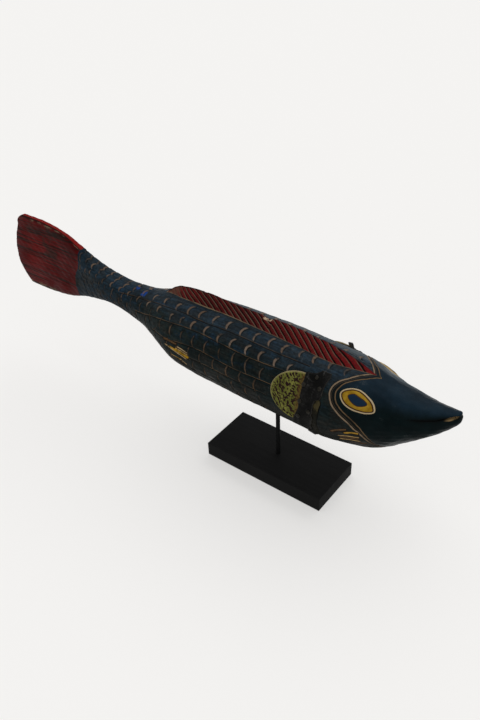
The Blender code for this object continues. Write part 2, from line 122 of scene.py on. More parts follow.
# The left side's top row, which runs lower
LEFT_TOP_ROW = (
    [(-372, 80), (-300, 84), (-229, 78), (-197, 70), (-174, 66), (-133, 68), (-60, 67), (30, 67), (60, 72), (110, 77)],
    -374.7, 128, 17.0, 5.0, 0.8,
)
MARK_PITCH = [
    (-375, 13), (-345, 14.5), (-310, 18), (-270, 22), (-230, 28), (-190, 29), (-165, 21), (-130, 21.5), (-100, 25),
    (-50, 23.5), (80, 22),
]
GILL_OUTER = [
    (147, 90), (142.5, 83), (135, 74.5), (126.4, 65), (118.5, 57), (112.8, 49), (111, 41), (113.3, 33.5),
    (118, 26), (125, 20), (132.4, 15), (141, 10), (150, 2.5), (157, -3), (165, -14), (173, -30), (181, -50), (185, -90),
]
GILL_INNER = [
    (157, 90), (152, 85), (145, 76), (136, 67.5), (127, 59), (121.4, 51), (118.5, 43), (120, 36), (123.7, 30),
    (130.3, 24.5), (139, 19.5), (146.5, 15), (153.5, 10), (160, 3), (167, -9), (174, -26), (182, -48), (186, -90),
]
EYE_OUTLINE = [
    (124, 41), (125.5, 47.5), (134, 54), (143.5, 57), (153, 55.5), (163.5, 50), (169.5, 41), (169.3, 34.5), (161.5, 30),
    (150.5, 28), (139.7, 28.7), (130, 33),
]
PUPIL_OUTLINE = [
    (134.5, 43.6), (140, 48.2), (146.3, 47.4), (154, 46.2), (158.5, 42.7), (154.3, 38.6), (148, 36), (140.7, 38),
]
EYE_LOWERED = {"right": 0, "left": 6}  # degrees
HEAD_START = 95
HEAD_LINES = [  # field, path, whether the path closes
    ("gill", GILL_OUTER, False), ("gill_in", GILL_INNER, False),
    ("eye", EYE_OUTLINE, True), ("pupil", PUPIL_OUTLINE, True),
]
MOUTH_LINE = [(203, 213), (217, 215), (227, 217), (238, 220), (247, 223.5), (258, 226.5), (266, 227.5)]
# Painted strokes: X and angle of both ends, half width, paleness
STROKES = [
    (-162, 9, -138, 11, 1.4, -1), (-150, 1, -114, -1, 1.6, 0.0), (-135, 8, -115, 6, 0.8, 1.0),
    (-160, 0, -117, -5, 0.8, 1.0), (-137, 4, -115, 3, 0.9, 0.5), (-150, -13, -129, -13, 0.9, 0.2),
    (-132, -14, -120, -17, 1.0, 0.7),
    (122, -13, 141, -3, 1.1, -1), (140, -9, 156, -5, 1.1, 0.1), (131, -19, 157, -13, 0.8, 0.6),
    (133, -23, 156, -17.5, 0.8, -1), (132, -27, 158, -22, 0.8, 0.6), (146, -31, 165, -28, 0.7, -1),
]
TAIL_BOUNDARY = [(-90, -395), (-72, -398), (0, -390), (66, -379), (90, -377)]  # angle, X
TORN_EDGE = [(-90, 92), (-25, 92), (-6, 95.6), (10, 95.6), (22, 95.6), (26, 103.4), (38, 103.2), (47, 103.2), (60, 107)]

# Rubber, fins and tacks
RUBBER_GAP, RUBBER_THICKNESS = 0.3, 1.8
RUBBER_TOP_ANGLE = {"right": 60, "left": 42}
BAND_REAR_X = 85.0
FIN_ANGLE = {"right": 16.0, "left": 1.0}
FIN_RADIUS = 80.0
FIN_HALF_HEIGHT = 35.0
FIN_REAR_X, FIN_WIDEST_X, FIN_ROOT_X = 32.0, 78.0, 83.0
FIN_ROUNDNESS = 2.0
FIN_STANDOFF = 0.6
FIN_WORN = 0.9  # share kept of the height of the left fin's upper half and of the right fin's lower half
HINGE_X, HINGE_BEND = 84.2, 8.0  # the hinge's place along X, and the length of rubber over it
FIN_THICKNESS = [(32.0, 2.4), (55.0, 4.6), (78.0, 3.0), (83.0, 2.6)]  # X, thickness
SIDES = {"right": -1, "left": 1}

# Camera and light
CAMERA_AT = (0.46590, -0.65258, 0.79540)
CAMERA_TURN, CAMERA_TILT, CAMERA_ROLL = 39.17, 53.44, -2.806  # degrees
CAMERA_LENS = 36.45
WORLD_STRENGTH = 0.6
SUN_STRENGTH, SUN_ANGLE = 1.4, 75
SUN_FROM = (-0.1, 0.42, 1.0)
FLOOR_GLOW = 0.505  # evens out the shadow, as a lit backdrop does


# Curves and fields


def curve(x, table, column=1):
    """A smooth curve through a table's points, read at each x."""
    xs = np.array([row[0] for row in table], float)
    ys = np.array([row[column] for row in table], float)
    step = np.diff(xs)
    slope = np.diff(ys) / step
    tangent = np.concatenate([slope[:1], slope[:-1], slope[-1:]])
    tangent[1:-1] = (slope[:-1] * step[1:] + slope[1:] * step[:-1]) / (step[:-1] + step[1:])
    x = np.clip(x, xs[0], xs[-1])
    i = np.clip(np.searchsorted(xs, x) - 1, 0, len(xs) - 2)
    t = (x - xs[i]) / step[i]
    return (
        (2 * t**3 - 3 * t**2 + 1) * ys[i]
        + (t**3 - 2 * t**2 + t) * step[i] * tangent[i]
        + (3 * t**2 - 2 * t**3) * ys[i + 1]
        + (t**3 - t**2) * step[i] * tangent[i + 1]
    )


def between(x, table):
    """Straight lines between a table's (x, y) points."""
    return np.interp(x, [p[0] for p in table], [p[1] for p in table])


def step_up(x, low, high):
    t = np.clip((x - low) / (high - low), 0, 1)
    return t * t * (3 - 2 * t)


def section(x):
    """Centre height, half height, half width and squareness of the carved section at x."""
    top, bottom, half = (curve(x, PROFILE, c) for c in (1, 2, 3))
    return (top + bottom) / 2, (top - bottom) / 2, half, between(x, SQUARENESS)


def girth(x):
    """The mean radius at x, which turns an angle into a distance around the body."""
    _, half_height, half_width, _ = section(x)
    return (half_height + half_width) / 2


def trunk_height(x, y):
    centre, half_height, half_width, power = section(x)
    share = np.clip(np.abs(y) / half_width, 0, 1)
    return centre + half_height * (1 - share**power) ** (1 / power)


def fan_x(x, z):
    share = np.clip((TAIL_FAN_START - x) / (TAIL_FAN_START - TAIL_END_X), 0, None)
    return x + share**2 * (curve(z, TAIL_REAR_EDGE) - TAIL_END_X)


def unrolled(path):
    """(X, angle) points as (X, distance around the body from its side)."""
    return [(x, math.radians(a) * float(girth(np.array(float(x))))) for x, a in path]


def rounded(path, closed=False, steps=6):
    """A smooth path through a few points."""
    points = np.array(path, float)
    n = len(points)
    found = []
    for i in range(n if closed else n - 1):
        if closed:
            a, b, c, d = (points[(i + k) % n] for k in (-1, 0, 1, 2))
        else:
            a, b, c, d = (points[min(max(i + k, 0), n - 1)] for k in (-1, 0, 1, 2))
        for s in range(steps):
            t = s / steps
            found.append(0.5 * (2 * b + (c - a) * t + (2 * a - 5 * b + 4 * c - d) * t**2
                                + (3 * b - a - 3 * c + d) * t**3))
    if not closed:
        found.append(points[-1])
    return np.array(found)


def path_distance(u, v, path, closed=False):
    """Distance to a path in the plane, below zero on its right (or inside, for a closed path)."""
    best = np.full(u.shape, 1e9)
    side = np.ones(u.shape)
    ends = np.roll(path, -1, axis=0) if closed else path[1:]
    crossings = np.zeros(u.shape, int)
    for (ax, ay), (bx, by) in zip(path, ends):
        dx, dy = bx - ax, by - ay
        t = np.clip(((u - ax) * dx + (v - ay) * dy) / (dx * dx + dy * dy + 1e-12), 0, 1)
        away = np.hypot(u - ax - t * dx, v - ay - t * dy)
        nearer = away < best
        best = np.where(nearer, away, best)
        side = np.where(nearer, np.sign(dx * (v - ay) - dy * (u - ax)), side)
        if closed:
            spans = (ay > v) != (by > v)
            crossings += spans & (u < ax + (v - ay) * dx / (dy if dy else 1e-12))
    if closed:
        return np.where(crossings % 2 == 1, -best, best)
    return best * np.where(side == 0, 1, side)


def undulation(points, wavelength, seed, waves=7):
    """Smooth noise of about unit size: sine waves in seeded directions."""
    rng = np.random.default_rng(seed)
    total = np.zeros(points.shape[:-1])
    for _ in range(waves):
        direction = rng.normal(size=3)
        direction *= 2 * math.pi / (np.linalg.norm(direction) * wavelength * rng.uniform(0.7, 1.5))
        total += np.sin(points @ direction + rng.uniform(0, 2 * math.pi))
    return total / math.sqrt(waves)


# Meshes


def piece_from_grid(name, points, fields, material, body):
    """A closed mesh over a grid of points in millimetres: its columns go round, and its end rows are capped."""
    rows, columns = points.shape[:2]
    index = np.arange(rows * columns).reshape(rows, columns)
    across = np.roll(index, -1, axis=1)
    quads = np.stack([index[:-1], across[:-1], across[1:], index[1:]], -1).reshape(-1, 4)
    low_u = np.repeat(np.arange(rows - 1), columns) / (rows - 1) * (1 - 2 * CAP_SHARE) + CAP_SHARE
    high_u = low_u + (1 - 2 * CAP_SHARE) / (rows - 1)
    low_v = np.tile(np.arange(columns), rows - 1) / columns
    high_v = low_v + 1 / columns
    uv = np.stack([low_u, low_v, low_u, high_v, high_u, high_v, high_u, low_v], -1).reshape(-1, 4, 2)
    for first, flip, base in ((0, True, 0.0), ((rows - 1) * columns, False, 0.985)):
        i = np.arange(columns // 2)
        left, right = (columns - i) % columns, (columns - i - 1) % columns
        cap = first + np.stack([i, i + 1, right, left], -1)
        corner = np.stack([i, i + 1, i + 1, i], -1) / (columns // 2)
        depth = np.broadcast_to(np.array([0, 0, 0.015, 0.015]) + base, corner.shape)
        patch = np.stack([depth, corner], -1)
        if flip:
            cap, patch = cap[:, ::-1], patch[:, ::-1]
        quads = np.concatenate([quads, cap])
        uv = np.concatenate([uv, patch])
    mesh = bpy.data.meshes.new(name)
    mesh.vertices.add(rows * columns)
    mesh.vertices.foreach_set("co", (points * MM).astype(np.float32).ravel())
    mesh.loops.add(quads.size)
    mesh.loops.foreach_set("vertex_index", quads.astype(np.int32).ravel())
    mesh.polygons.add(len(quads))
    mesh.polygons.foreach_set("loop_start", np.arange(0, quads.size, 4, dtype=np.int32))
    layer = mesh.uv_layers.new(name="OFBake")
    layer.data.foreach_set("uv", uv.astype(np.float32).ravel())
    for key, values in fields.items():
        attribute = mesh.attributes.new(key, "FLOAT", "POINT")
        attribute.data.foreach_set("value", np.asarray(values, np.float32).ravel())
    mesh.update(calc_edges=True)
    mesh.validate()
    mesh.shade_smooth()
    return finish_piece(name, mesh, material, body)


def finish_piece(name, mesh, material, body):
    mesh.materials.append(material)
    piece = bpy.data.objects.new(name, mesh)
    bpy.context.scene.collection.objects.link(piece)
    if body:
        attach(piece, body)
    return piece


def on_both_faces(**fields):
    return {name: np.concatenate([values, values[:, ::-1]], axis=1) for name, values in fields.items()}


def sheet_piece(name, lower, upper, fields, flipped, material, body):
    """One closed skin around a sheet: up the outer face, then back down the inner one, row by row."""
    skin = np.concatenate([upper, lower[:, ::-1]], axis=1)
    if flipped:
        skin, fields = skin[:, ::-1], {key: values[:, ::-1] for key, values in fields.items()}
    return piece_from_grid(name, skin, fields, material, body)


# Materials
# The second black is painted shadow, for the mouth's crease and the crack at the torn band
NEAR_BLACK, SLIT_SHADOW_BLACK = (0.003,) * 3, (0.0015,) * 3


class Look:
    """A procedural material, built from left to right."""

    def __init__(self, name, roughness=0.5, specular=0.5, metallic=0.0):
        self.material = bpy.data.materials.new(name)
        self.material.use_nodes = True
        self.tree = self.material.node_tree
        self.shader = self.tree.nodes["Principled BSDF"]
        self.set_inputs(self.shader, {"Roughness": roughness, "Specular IOR Level": specular, "Metallic": metallic})
        self.place = self.node("ShaderNodeTexCoord").outputs["Object"]

    def set_inputs(self, node, values):
        for key, value in values.items():
            self.feed(node.inputs[key], value)

    def node(self, kind, **settings):
        made = self.tree.nodes.new(kind)
        for key, value in settings.items():
            setattr(made, key, value)
        return made

    def feed(self, socket, value):
        if isinstance(value, bpy.types.NodeSocket):
            self.tree.links.new(value, socket)
        elif socket.type == "RGBA":
            socket.default_value = (*value, 1)
        else:
            socket.default_value = value

    def field(self, name):
        return self.node("ShaderNodeAttribute", attribute_name=name).outputs["Fac"]

    def math(self, operation, a, b=0.0, clamp=False):
        made = self.node("ShaderNodeMath", operation=operation, use_clamp=clamp)
        self.feed(made.inputs[0], a)
        self.feed(made.inputs[1], b)
        return made.outputs[0]

    def stretched(self, x, y, z, source=None):
        made = self.node("ShaderNodeVectorMath", operation="MULTIPLY")
        self.feed(made.inputs[0], source or self.place)
        made.inputs[1].default_value = (x, y, z)
        return made.outputs[0]

    def noise(self, scale, detail=3.0, where=None, roughness=0.55, distortion=0.0):
        made = self.node("ShaderNodeTexNoise")
        self.feed(made.inputs["Vector"], where or self.place)
        self.set_inputs(made, {"Scale": scale, "Detail": detail, "Roughness": roughness, "Distortion": distortion})
        return made.outputs[0]

    def span(self, value, low, high, to_low=0.0, to_high=1.0):
        """Maps low..high to to_low..to_high, smoothly and clamped."""
        made = self.node("ShaderNodeMapRange", interpolation_type="SMOOTHSTEP")
        self.set_inputs(made, {"Value": value, "From Min": low, "From Max": high, "To Min": to_low, "To Max": to_high})
        return made.outputs[0]

    def below(self, value, low, high):
        """1 up to low, falling to 0 at high."""
        return self.span(value, low, high, 1.0, 0.0)

    def within(self, value, centre, half, soft):
        """1 where value is within half of centre, falling to 0 over soft."""
        away = self.math("ABSOLUTE", self.math("SUBTRACT", value, centre))
        return self.below(away, half - soft / 2, half + soft / 2)

    def wobbled(self, value, noise, reach):
        """A distance field moved by up to half of reach either way."""
        return self.math("ADD", value, self.math("MULTIPLY", self.math("SUBTRACT", noise, 0.5), reach))

    def times(self, *values):
        result = values[0]
        for value in values[1:]:
            result = self.math("MULTIPLY", result, value)
        return result

    def mix(self, factor, a, b, blend="MIX"):
        made = self.node("ShaderNodeMix", data_type="RGBA", blend_type=blend)
        sockets = {s.identifier: s for s in made.inputs}
        self.feed(sockets["Factor_Float"], factor)
        self.feed(sockets["A_Color"], a)
        self.feed(sockets["B_Color"], b)
        return next(s for s in made.outputs if s.identifier == "Result_Color")

    def brightened(self, colour, factor):
        """A colour times a number that varies over the surface."""
        made = self.node("ShaderNodeVectorMath", operation="SCALE")
        self.feed(made.inputs[0], colour)
        self.feed(made.inputs["Scale"], factor)
        return made.outputs[0]

    def finish(self, colour, roughness=None, height=None, depth=0.0004, strength=1.0):
        self.feed(self.shader.inputs["Base Color"], colour)
        if roughness is not None:
            self.feed(self.shader.inputs["Roughness"], roughness)
        if height is not None:
            bump = self.node("ShaderNodeBump")
            self.set_inputs(bump, {"Strength": strength, "Distance": depth, "Height": height})
            self.feed(self.shader.inputs["Normal"], bump.outputs[0])
        return self.material


class Coat:
    """Layers of paint, each laid over the last as far as its masks allow."""

    def __init__(self, look, colour):
        self.look, self.colour = look, colour

    def lay(self, colour, *masks):
        self.colour = self.look.mix(self.look.times(*masks), self.colour, colour)

    def vary(self, noise, low, high):
        """Brightness from low to high times the paint's own."""
        self.colour = self.look.brightened(self.colour, self.look.span(noise, 0.3, 0.7, low, high))


# The fish's carved and painted skin


def fish_stations():
    """X of each ring, and how much its width and its height are kept at the rounded ends."""
    turn = np.linspace(math.pi / 2, 0, 7)
    rear = TAIL_END_X + REAR_ROUNDING * (1 - np.sin(turn))
    nose = NOSE_X - NOSE_ROUNDING * (1 - np.sin(turn[::-1]))
    middle = np.arange(rear[-1] + STATION_STEP, nose[0] - 0.5 * STATION_STEP, STATION_STEP)
    xs = np.concatenate([rear, middle, nose])
    ones = np.ones(len(middle))
    width_kept = np.concatenate([np.cos(turn) * 0.92 + 0.08, ones, np.cos(turn[::-1]) * 0.65 + 0.35])
    height_kept = np.concatenate([np.cos(turn) * 0.02 + 0.98, ones, np.cos(turn[::-1]) * 0.3 + 0.7])
    return xs, width_kept, height_kept


def crest_shape(xs):
    """Half width, ridge height and how far the crest has risen from the trunk at each end."""
    inside = step_up(xs, CREST_START, CREST_START + 4) * (1 - step_up(xs, CREST_END - 4, CREST_END))
    ridge = curve(xs, RIDGE)
    for x, half, depth in RIDGE_CHIPS:
        ridge = ridge - depth * step_up(half - np.abs(xs - x), 0, 0.45 * half)
    return curve(xs, CREST_HALF_WIDTH), ridge, inside


def skin_side(xs):
    """Distance from the middle plane and height of one side's grid, from the ridge down to the belly."""
    centre, half_height, half_width, power = section(xs)
    crest_half, ridge, inside = crest_shape(xs)
    t = np.linspace(0, 1, CREST_COLUMNS + 1)[None]
    crest_y = t * crest_half[:, None]
    trunk_z = trunk_height(xs[:, None], crest_y)
    foot_z = trunk_height(xs, crest_half)[:, None]
    blunt = (np.sqrt(t**2 + 0.003) - 0.055) / 0.9465
    crest_z = foot_z + (ridge[:, None] - foot_z) * (1 - blunt + 0.16 * t * (1 - t))
    crest_z = trunk_z + np.clip(crest_z - trunk_z, 0, None) * inside[:, None]
    start = np.arcsin((crest_half / half_width) ** (power / 2))
    share = np.linspace(0, 1, 1201)[None]
    a = start[:, None] + (math.pi - start[:, None]) * share
    p = 2 / power[:, None]
    y = half_width[:, None] * np.abs(np.sin(a)) ** p
    z = centre[:, None] + half_height[:, None] * np.sign(np.cos(a)) * np.abs(np.cos(a)) ** p
    walked = np.cumsum(np.hypot(np.diff(y), np.diff(z)), axis=1)
    walked = np.concatenate([np.zeros((len(xs), 1)), walked], axis=1)
    corner_at = np.array([np.interp(math.pi / 4, row, w) for row, w in zip(a, walked)])
    even = np.linspace(0, 1, FLANK_COLUMNS + 1)[1:]
    rows = []
    for row_y, row_z, w in zip(y, z, walked):
        at = even * w[-1]
        rows.append((np.interp(at, w, row_y), np.interp(at, w, row_z), at))
    flank_y, flank_z, arc = (np.array([r[k] for r in rows]) for k in range(3))
    side = {
        "y": np.concatenate([crest_y, flank_y], 1),
        "z": np.concatenate([crest_z, flank_z], 1),
        "trunk_z": np.concatenate([trunk_z, flank_z], 1),
        "corner": np.concatenate([crest_y - crest_half[:, None], arc], 1) - corner_at[:, None],
    }
    slope = np.hypot(crest_half, np.clip(ridge - foot_z[:, 0], 0, None))[:, None]
    limit = np.minimum(xs - CREST_START, CREST_END - xs)[:, None]
    side["crest"] = np.minimum(np.concatenate([(1 - t) * slope, -arc], 1), limit)
    side["ridge"] = np.concatenate([t * slope + (1 - inside[:, None]) * FAR_AWAY, arc + FAR_AWAY], 1)
    length = CREST_END - CREST_START
    along = (xs - CREST_START) / length
    ends = np.clip(np.minimum(along / 0.14, (1 - along) / 0.16), 0, 1)[:, None]
    foot_x = xs[:, None] + GROOVE_SLANT * ends * (1 - t)
    phase = (foot_x - CREST_START) / length * (GROOVES + 1)
    offset = (phase - np.clip(np.round(phase), 1, GROOVES)) * length / (GROOVES + 1)
    across = slope / np.hypot(slope, GROOVE_SLANT * ends + 1e-6)
    side["groove"] = np.concatenate([offset * across, np.full_like(arc, FAR_AWAY)], 1)
    return side


def scale_marks(xs, v, word):
    """Fields of the rows of scale marks: distance, distance towards the head, and paleness."""
    mark = np.full(v.shape, FAR_AWAY)
    inward = np.full(v.shape, FAR_AWAY)
    tone = np.zeros(v.shape)
    rng = np.random.default_rng(11 + len(word))
    top_row = LEFT_TOP_ROW if word == "left" else SCALE_ROWS[0]
    for path, first, last, height, thickness, paleness in [top_row, *SCALE_ROWS[1:]]:
        places = [first]
        while places[-1] < last:
            places.append(places[-1] + float(between(places[-1], MARK_PITCH)))
        for x in places[:-1]:
            squeeze = float(between(x, [(-350, 0.62), (-220, 0.9), (-150, 1), (20, 1), (60, 0.85)]))
            x = x + rng.uniform(-1.2, 1.2)
            tall = height * rng.uniform(0.85, 1.12) * squeeze
            thick = thickness * rng.uniform(0.75, 1.2) * squeeze
            pale = min(paleness, 0.45 if x < -230 else 1) * rng.uniform(0.45, 1.15)
            claw = paleness > 0.6
            radius = tall * (0.54 if claw else 0.75)
            tilt = rng.uniform(-0.12, 0.12) - (0.4 if claw else 0.08)
            near = np.abs(xs - x) < tall + 4
            around = math.radians(float(between(x, path))) * float(girth(np.array(x)))
            u = xs[near][:, None] - x
            w = v[near] - around - rng.uniform(-0.8, 0.8)
            turned_u = u * math.cos(tilt) + w * math.sin(tilt) - radius
            turned_w = w * math.cos(tilt) - u * math.sin(tilt)
            away = np.hypot(turned_u, turned_w) - radius
            turn = np.arctan2(turned_w, -turned_u) / math.asin(min(1.0, tall / 2 / radius))
            taper = np.sqrt(np.clip(1 - (turn + 0.15) ** 2, 0, 1))
            edge = np.abs(away) - 0.5 * thick * taper + 1.5 * (np.abs(turn + 0.15) > 1)
            shade = np.where(np.abs(turn) < 1.05, -away - 0.5 * thick * taper, FAR_AWAY)
            nearer = edge < mark[near]
            mark[near] = np.where(nearer, edge, mark[near])
            inward[near] = np.where(nearer, shade, inward[near])
            tone[near] = np.where(nearer, pale, tone[near])
    return mark, inward, tone


def side_fields(xs, side, word):
    """Every painted or carved mark of one side, mostly as distances in millimetres."""
    centre, _, _, _ = section(xs)
    angle = np.arctan2(side["trunk_z"] - centre[:, None], side["y"])
    v = angle * girth(xs)[:, None]
    u = np.broadcast_to(xs[:, None], v.shape)
    degrees = np.degrees(angle)
    fields = {"flank": degrees, "tail": u - between(degrees, TAIL_BOUNDARY)}

    line, tone = np.full(v.shape, FAR_AWAY), np.zeros(v.shape)
    for path, paleness in zip(FLANK_LINES, LINE_PALENESS):
        along = np.clip(xs, path[0][0], path[-1][0])
        level = np.radians(curve(along, path)) * girth(along)
        away = np.hypot(v - level[:, None], (xs - along)[:, None]) * np.where(v < level[:, None], -1, 1)
        nearer = np.abs(away) < np.abs(line)
        line, tone = np.where(nearer, away, line), np.where(nearer, paleness, tone)
    fields["line"], fields["line_tone"] = line, tone
    fields["scale"], fields["scale_in"], fields["scale_tone"] = scale_marks(xs, v, word)

    head = xs > HEAD_START
    for name, path, closed in HEAD_LINES:
        path = [(x, a - EYE_LOWERED[word] * closed) for x, a in path]
        fields[name] = np.full(v.shape, FAR_AWAY)
        fields[name][head] = path_distance(u[head], v[head], rounded(unrolled(path), closed), closed)
    fields["stroke"], fields["stroke_tone"] = np.full(v.shape, FAR_AWAY), np.zeros(v.shape)
    for x0, a0, x1, a1, half, paleness in STROKES:
        near = (xs > x0 - 12) & (xs < x1 + 12)
        path = rounded(unrolled([(x0, a0), ((x0 + x1) / 2, (a0 + a1) / 2 + 1), (x1, a1)]))
        away = np.abs(path_distance(u[near], v[near], path)) - half
        nearer = away < fields["stroke"][near]
        fields["stroke"][near] = np.where(nearer, away, fields["stroke"][near])
        fields["stroke_tone"][near] = np.where(nearer, paleness, fields["stroke_tone"][near])

    mouth = side["trunk_z"] - curve(xs, MOUTH_LINE)[:, None]
    fields["mouth"] = np.where(xs[:, None] > MOUTH_LINE[0][0], mouth, FAR_AWAY)
    fan = fan_x(u, side["z"])
    fields["rim"] = np.where(u < TAIL_FAN_START + 60, fan - curve(side["z"], TAIL_REAR_EDGE), FAR_AWAY)
    corner = side["y"] - 3 if word == "right" else np.maximum(-side["y"] - 3, side["corner"])
    fields["corner"] = np.where(u < -330, corner, FAR_AWAY)
    degrees = degrees + FIN_ANGLE["right"] - FIN_ANGLE[word]
    crack = u - 102.3 - 0.7 * np.sin(v / 5.5) - 2.2 * step_up(degrees, 8, 22)
    crack = crack + 6 * step_up(degrees, 23, 28) - 5 * step_up(-degrees, 26, 40)
    fields["crack"] = np.where((degrees < 28) & (degrees > -40) & (xs[:, None] > 88), crack, FAR_AWAY)
    for name in ("crest", "ridge", "groove"):
        fields[name] = side[name]
    return fields


def carve(fields, base):
    """Height in millimetres to move each skin point outward."""
    f = fields
    height = 0.35 * undulation(base * (0.35, 1, 1), 21, 3) + 0.18 * undulation(base * (0.5, 1, 1), 8, 4)
    for name, offset, half, depth in CUTS:
        height -= depth * np.exp(-(((f[name] - offset) / half) ** 2))
    groove = 1.4 * np.exp(-((f["groove"] / 1.2) ** 2))
    height -= groove * step_up(f["crest"], 0, 2.0) * step_up(f["ridge"], 0, 3.5)
    height += 1.6 * step_up(-f["eye"], 0.5, 12)  # the eye bulges
    height -= 0.35 * np.exp(-((np.clip(f["stroke"], 0, None) / 0.9) ** 2))
    in_tail = step_up(-f["tail"], 0, 8)
    streak = undulation(base * (0.07, 0.2, 1), 6.5, 9, waves=9)
    height += -0.35 * in_tail * step_up(streak, 0.3, 1.3)
    return height


def make_fish_skin(material):
    xs, width_kept, height_kept = fish_stations()
    side = skin_side(xs)
    halves = {word: side_fields(xs, side, word) for word in SIDES}

    def ring(right, left):
        return np.concatenate([right, left[:, -2:0:-1]], axis=1)

    fields = {name: ring(halves["right"][name], halves["left"][name]) for name in halves["right"]}
    centre = section(xs)[0][:, None]
    y, z = (ring(side[k] * s, side[k]) for k, s in (("y", -1), ("z", 1)))
    y = y * width_kept[:, None]
    z = centre + (z - centre) * height_kept[:, None]
    x = fan_x(np.broadcast_to(xs[:, None], z.shape), z)
    base = np.stack([x, y, z], -1)
    around = np.roll(base, -1, axis=1) - np.roll(base, 1, axis=1)
    along = np.gradient(base, axis=0)
    normal = np.cross(around, along)
    normal /= np.linalg.norm(normal, axis=-1, keepdims=True) + 1e-9
    skin = base + normal * carve(fields, base)[..., None]

    # The mouth: a crease that opens into a wedge between the lips at the tip
    station = np.broadcast_to(xs[:, None], z.shape)
    opening = 0.4 + 2.2 * step_up(station, 244, NOSE_X)
    open_share = np.exp(-((fields["mouth"] / opening) ** 4)) * step_up(station, 206, 214)
    depth = 0.12 + 0.7 * step_up(station, 247, 258)
    skin[..., 1] *= 1 - open_share * depth * np.where(station > 240, 1, 0.25)
    skin[..., 0] -= open_share * np.clip(skin[..., 0] - 256, 0, None) * 0.9
    skin[..., 0] += 1.2 * step_up(station, 258, NOSE_X) * (fields["mouth"] < -1.5)
    for axis, start, kept in SQUEEZES:
        past = (skin[..., axis] - start) * np.sign(start)
        skin[..., axis] = np.where(past > 0, start + np.sign(start) * past * kept, skin[..., axis])
    return piece_from_grid("fish_skin", skin, fields, material, "fish")


